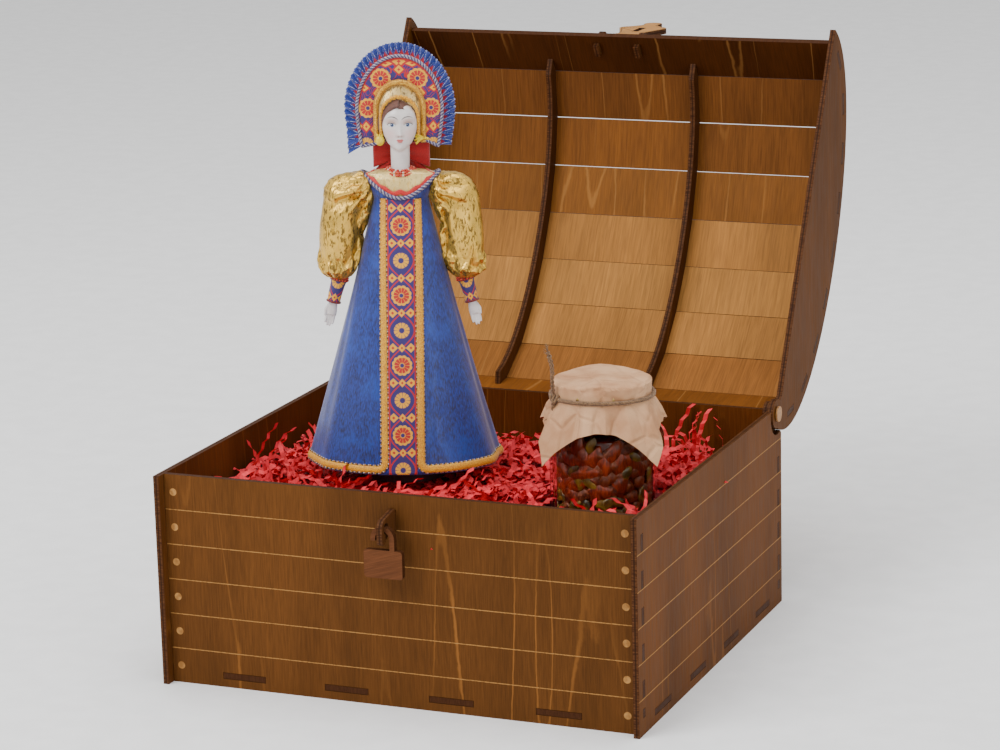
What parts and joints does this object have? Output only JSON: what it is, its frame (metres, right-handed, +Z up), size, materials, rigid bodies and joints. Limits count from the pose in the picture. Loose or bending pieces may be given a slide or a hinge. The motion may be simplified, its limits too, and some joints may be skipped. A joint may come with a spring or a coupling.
{
  "type": "gift chest with doll",
  "caption": "Domed plywood gift chest with a hinged slatted lid, lock plate and padlock, holding a costume doll that lies down as the lid shuts, a honey jar and paper shred.",
  "frame": {"origin": "on the ground under the middle of the whole object with the lid open", "axes": "+X to the right as seen from the front, +Y from the chest's front to its back, +Z up"},
  "size_m": [0.3436, 0.5394, 0.415],
  "materials": {
    "walnut_ply": "satin, dark walnut stain",
    "pale_walnut_ply": "satin, lighter stain",
    "dark_wood": "satin",
    "blue_brocade": "woven sheen",
    "gold_brocade": "metallic thread",
    "patterned_cloth": "woven pattern",
    "red_velvet": "pile",
    "porcelain": "bisque",
    "brown_hair": "fine fibre",
    "black_stand": "matt",
    "clear_glass": "clear",
    "nuts_in_honey": "glossy",
    "cap_metal": "gloss",
    "kraft_paper": "matt",
    "twine": "fibre",
    "red_paper": "matt"
  },
  "bodies": {
    "chest": {"front_panel": "walnut_ply", "back_panel": "walnut_ply", "left_side_panel": "walnut_ply", "right_side_panel": "walnut_ply", "bottom_panel": "walnut_ply", "left_hinge_cheek": "walnut_ply", "right_hinge_cheek": "walnut_ply", "left_hinge_pin": "dark_wood", "right_hinge_pin": "dark_wood", "padlock_hook": "walnut_ply", "shred_fill": "red_paper", "jar_glass": "clear_glass", "jar_contents": "nuts_in_honey", "jar_cap": "cap_metal", "jar_cover": "kraft_paper", "jar_twine": "twine"},
    "lid": {"lid_left_end": "walnut_ply", "lid_right_end": "walnut_ply", "lid_left_rib": "pale_walnut_ply", "lid_right_rib": "pale_walnut_ply", "lid_front_board": "walnut_ply", "lid_slat_1": "walnut_ply", "lid_slat_2": "walnut_ply", "lid_slat_3": "walnut_ply", "lid_slat_4": "walnut_ply", "lid_slat_5": "walnut_ply", "lid_slat_6": "walnut_ply", "lid_slat_7": "walnut_ply", "lid_slat_8": "walnut_ply", "lock_hook_left": "walnut_ply", "lock_hook_right": "walnut_ply"},
    "lock_plate": {"lock_plate": "pale_walnut_ply"},
    "padlock": {"padlock": "pale_walnut_ply"},
    "doll": {"doll_stand": "black_stand", "doll_skirt": "blue_brocade", "doll_bodice": "blue_brocade", "doll_head": "porcelain", "doll_hair": "brown_hair", "doll_headdress": "patterned_cloth", "doll_ruffle": "blue_brocade", "doll_bow": "red_velvet", "doll_left_sleeve": "gold_brocade", "doll_right_sleeve": "gold_brocade", "doll_left_cuff": "patterned_cloth", "doll_right_cuff": "patterned_cloth", "doll_left_hand": "porcelain", "doll_right_hand": "porcelain"}
  },
  "joints": [
    {"name": "lid_hinge", "type": "hinge", "parent": "chest", "child": "lid", "pos_m": [0, 0.03559, 0.1405], "axis": [1, 0, 0], "range_deg": [0, 118.8], "deforming": ["shred_fill"]},
    {"name": "lock_plate_swing", "type": "hinge", "parent": "lid", "child": "lock_plate", "pos_m": [0, 0.19441, 0.37877], "axis": [1, 0, 0], "range_deg": [0, 144.7]},
    {"name": "padlock_swing", "type": "hinge", "parent": "chest", "child": "padlock", "pos_m": [0, -0.26351, 0.1265], "axis": [-1, 0, 0], "range_deg": [0, 50]},
    {"name": "doll_lay_down", "type": "hinge", "parent": "chest", "child": "doll", "pos_m": [-0.09481, -0.12186, 0.176], "axis": [-0.3738, 0.9275, 0], "range_deg": [0, 90.2]}
  ],
  "couplings": [
    {"joint": "doll_lay_down", "follows": "lid_hinge", "ratio": 0.75758}
  ]
}
